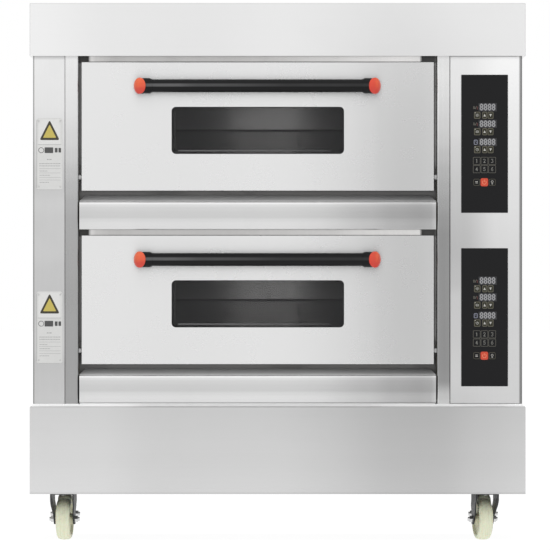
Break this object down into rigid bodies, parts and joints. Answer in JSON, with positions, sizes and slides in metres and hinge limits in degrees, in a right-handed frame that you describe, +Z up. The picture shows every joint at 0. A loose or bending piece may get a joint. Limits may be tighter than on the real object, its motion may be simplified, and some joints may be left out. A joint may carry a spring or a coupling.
{
  "type": "deck oven",
  "caption": "Electric bakery deck oven with stacked baking chambers, pull-down windowed doors, bar handles, a side control column and swivel casters.",
  "frame": {"origin": "on the floor under the middle of the overall box (door handles in front and vent outlets behind included)", "axes": "+Z up, the doors face -Y, +X towards the control column"},
  "size_m": [1.22, 0.9006, 1.322],
  "materials": {
    "stainless": "satin",
    "frame_steel": "satin",
    "liner_steel": "satin",
    "hearth_steel": "matte",
    "element_sheath": "satin",
    "wool": "matte",
    "clear_glass": "gloss",
    "window_frame_black": "satin",
    "handle_black": "satin",
    "cap_orange": "gloss",
    "panel_black": "satin",
    "board_green": "matte",
    "contactor_grey": "matte",
    "plate_silver": "satin",
    "fastener_steel": "satin",
    "bright_steel": "polished",
    "gland_black": "matte",
    "fork_black": "satin",
    "caster_zinc": "satin",
    "nylon_wheel": "satin",
    "lamp_glass": "satin"
  },
  "bodies": {
    "cabinet": {"top_hood": "stainless", "base_plinth": "stainless", "base_frame": "frame_steel", "left_side_panel": "stainless", "right_side_panel": "stainless", "back_panel": "stainless", "left_door_post": "stainless", "right_door_post": "stainless", "control_column_panel": "stainless", "upper_control_panel": "panel_black", "lower_control_panel": "panel_black", "upper_sill_fascia": "stainless", "lower_sill_fascia": "stainless", "upper_chamber_liner": "liner_steel", "lower_chamber_liner": "liner_steel", "upper_hearth_plate": "hearth_steel", "lower_hearth_plate": "hearth_steel", "upper_heating_elements": "element_sheath", "lower_heating_elements": "element_sheath", "chamber_insulation": "wool", "door_hinge_pins": "bright_steel", "chamber_lamps": "lamp_glass", "temperature_probes": "bright_steel", "steam_vent_pipes": "stainless", "control_boards": "board_green", "contactors": "contactor_grey", "rating_plates": "plate_silver", "screws_and_rivets": "fastener_steel", "cable_gland": "gland_black", "caster_plates": "caster_zinc"},
    "upper_door": {"upper_door_outer_skin": "stainless", "upper_door_inner_skin": "stainless", "upper_door_insulation": "wool", "upper_door_window_frame": "window_frame_black", "upper_door_outer_glass": "clear_glass", "upper_door_inner_glass": "clear_glass", "upper_door_handle_tube": "handle_black", "upper_door_handle_brackets": "handle_black", "upper_door_handle_caps": "cap_orange"},
    "lower_door": {"lower_door_outer_skin": "stainless", "lower_door_inner_skin": "stainless", "lower_door_insulation": "wool", "lower_door_window_frame": "window_frame_black", "lower_door_outer_glass": "clear_glass", "lower_door_inner_glass": "clear_glass", "lower_door_handle_tube": "handle_black", "lower_door_handle_brackets": "handle_black", "lower_door_handle_caps": "cap_orange"},
    "front_left_swivel": {"caster_front_left_fork": "fork_black", "caster_front_left_axle": "bright_steel"},
    "front_left_roller": {"caster_front_left_wheel": "nylon_wheel"},
    "front_right_swivel": {"caster_front_right_fork": "fork_black", "caster_front_right_axle": "bright_steel"},
    "front_right_roller": {"caster_front_right_wheel": "nylon_wheel"},
    "rear_left_swivel": {"caster_rear_left_fork": "fork_black", "caster_rear_left_axle": "bright_steel"},
    "rear_left_roller": {"caster_rear_left_wheel": "nylon_wheel"},
    "rear_right_swivel": {"caster_rear_right_fork": "fork_black", "caster_rear_right_axle": "bright_steel"},
    "rear_right_roller": {"caster_rear_right_wheel": "nylon_wheel"}
  },
  "joints": [
    {"name": "upper_door_hinge", "type": "hinge", "parent": "cabinet", "child": "upper_door", "pos_m": [-0.049, -0.365, 0.894], "axis": [1, 0, 0], "range_deg": [0, 90]},
    {"name": "lower_door_hinge", "type": "hinge", "parent": "cabinet", "child": "lower_door", "pos_m": [-0.049, -0.365, 0.467], "axis": [1, 0, 0], "range_deg": [0, 90]},
    {"name": "front_left_swivel_turn", "type": "hinge", "parent": "cabinet", "child": "front_left_swivel", "pos_m": [-0.529, -0.325, 0.11], "axis": [0, 0, 1], "continuous": true},
    {"name": "front_left_wheel_roll", "type": "hinge", "parent": "front_left_swivel", "child": "front_left_roller", "pos_m": [-0.52555, -0.2952, 0.051], "axis": [0.9934, -0.1149, 0], "continuous": true},
    {"name": "front_right_swivel_turn", "type": "hinge", "parent": "cabinet", "child": "front_right_swivel", "pos_m": [0.512, -0.325, 0.11], "axis": [0, 0, 1], "continuous": true},
    {"name": "front_right_wheel_roll", "type": "hinge", "parent": "front_right_swivel", "child": "front_right_roller", "pos_m": [0.50576, -0.29566, 0.051], "axis": [0.9781, 0.2079, 0], "continuous": true},
    {"name": "rear_left_swivel_turn", "type": "hinge", "parent": "cabinet", "child": "rear_left_swivel", "pos_m": [-0.537, 0.335, 0.11], "axis": [0, 0, 1], "continuous": true},
    {"name": "rear_left_wheel_roll", "type": "hinge", "parent": "rear_left_swivel", "child": "rear_left_roller", "pos_m": [-0.53543, 0.36496, 0.051], "axis": [0.9986, -0.0523, 0], "continuous": true},
    {"name": "rear_right_swivel_turn", "type": "hinge", "parent": "cabinet", "child": "rear_right_swivel", "pos_m": [0.521, 0.335, 0.11], "axis": [0, 0, 1], "continuous": true},
    {"name": "rear_right_wheel_roll", "type": "hinge", "parent": "rear_right_swivel", "child": "rear_right_roller", "pos_m": [0.51838, 0.36489, 0.051], "axis": [0.9962, 0.0872, 0], "continuous": true}
  ]
}
